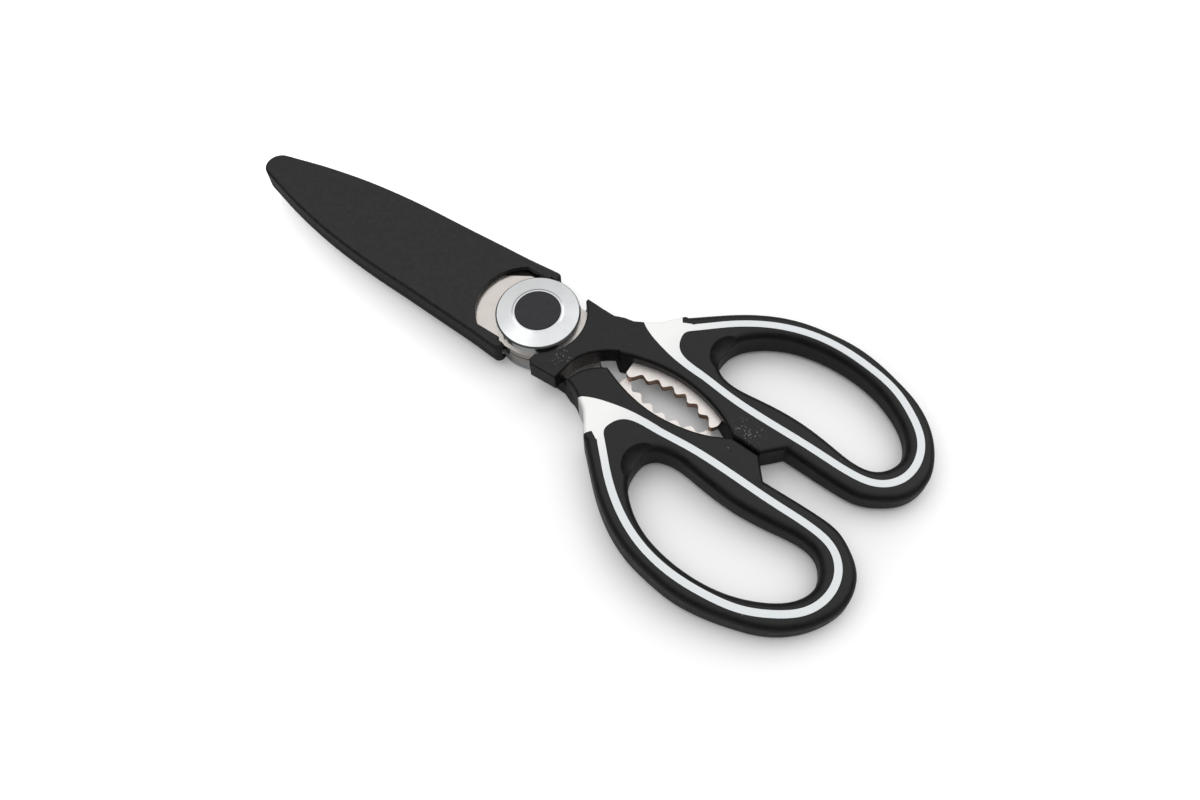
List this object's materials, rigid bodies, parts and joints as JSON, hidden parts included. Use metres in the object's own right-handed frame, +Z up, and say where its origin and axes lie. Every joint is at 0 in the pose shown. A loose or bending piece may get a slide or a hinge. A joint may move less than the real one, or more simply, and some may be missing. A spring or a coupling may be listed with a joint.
{
  "type": "kitchen shears",
  "caption": "Kitchen shears with two-tone handles, a toothed nutcracker gap, a capped screw pivot and a slip-on blade sheath.",
  "frame": {"origin": "on the pivot axis, at the lowest face of the pivot", "axes": "+X along the handles' centre line towards the blade tips, +Y towards the lower half's bow, +Z up along the pivot axis"},
  "size_m": [0.2274, 0.0926, 0.0138],
  "materials": {
    "blade_steel": "satin ground stainless steel with a slightly warm tint",
    "handle_white": "satin hard plastic, cool white",
    "handle_black": "soft-touch rubber, matte with a fine grain",
    "pivot_steel": "machined steel",
    "washer_plastic": "plain low-friction plastic",
    "cap_chrome": "bright plated, brushed in circles on the slope",
    "insert_black": "matte black, bare",
    "sheath_black": "matte hard plastic with a fine texture"
  },
  "bodies": {
    "pivot": {"pivot_bolt": "pivot_steel", "pivot_nut": "pivot_steel", "spring_washer": "pivot_steel", "upper_friction_washer": "washer_plastic", "lower_friction_washer": "washer_plastic", "top_cap_ring": "cap_chrome", "top_cap_insert": "insert_black", "bottom_cap_ring": "cap_chrome", "bottom_cap_insert": "insert_black"},
    "upper_half": {"upper_blade": "blade_steel", "upper_core": "handle_white", "upper_shoulder": "handle_black", "upper_outer_grip": "handle_black", "upper_inner_grip": "handle_black"},
    "lower_half": {"lower_blade": "blade_steel", "lower_core": "handle_white", "lower_shoulder": "handle_black", "lower_outer_grip": "handle_black", "lower_inner_grip": "handle_black"},
    "sheath": {"sheath_top_shell": "sheath_black", "sheath_bottom_shell": "sheath_black"}
  },
  "joints": [
    {"name": "upper_half_hinge", "type": "hinge", "parent": "pivot", "child": "upper_half", "pos_m": [0, 0, 0], "axis": [0, 0, 1], "range_deg": [0, 25]},
    {"name": "lower_half_hinge", "type": "hinge", "parent": "pivot", "child": "lower_half", "pos_m": [0, 0, 0], "axis": [0, 0, 1], "range_deg": [-25, 0]},
    {"name": "sheath_slide", "type": "slide", "parent": "pivot", "child": "sheath", "axis": [0.9993, 0.0366, 0], "range_m": [0, 0.4015]}
  ],
  "couplings": [
    {"joint": "lower_half_hinge", "follows": "upper_half_hinge", "ratio": -1},
    {"joint": "sheath_slide", "follows": "upper_half_hinge", "m_per_rad": 0.92}
  ]
}
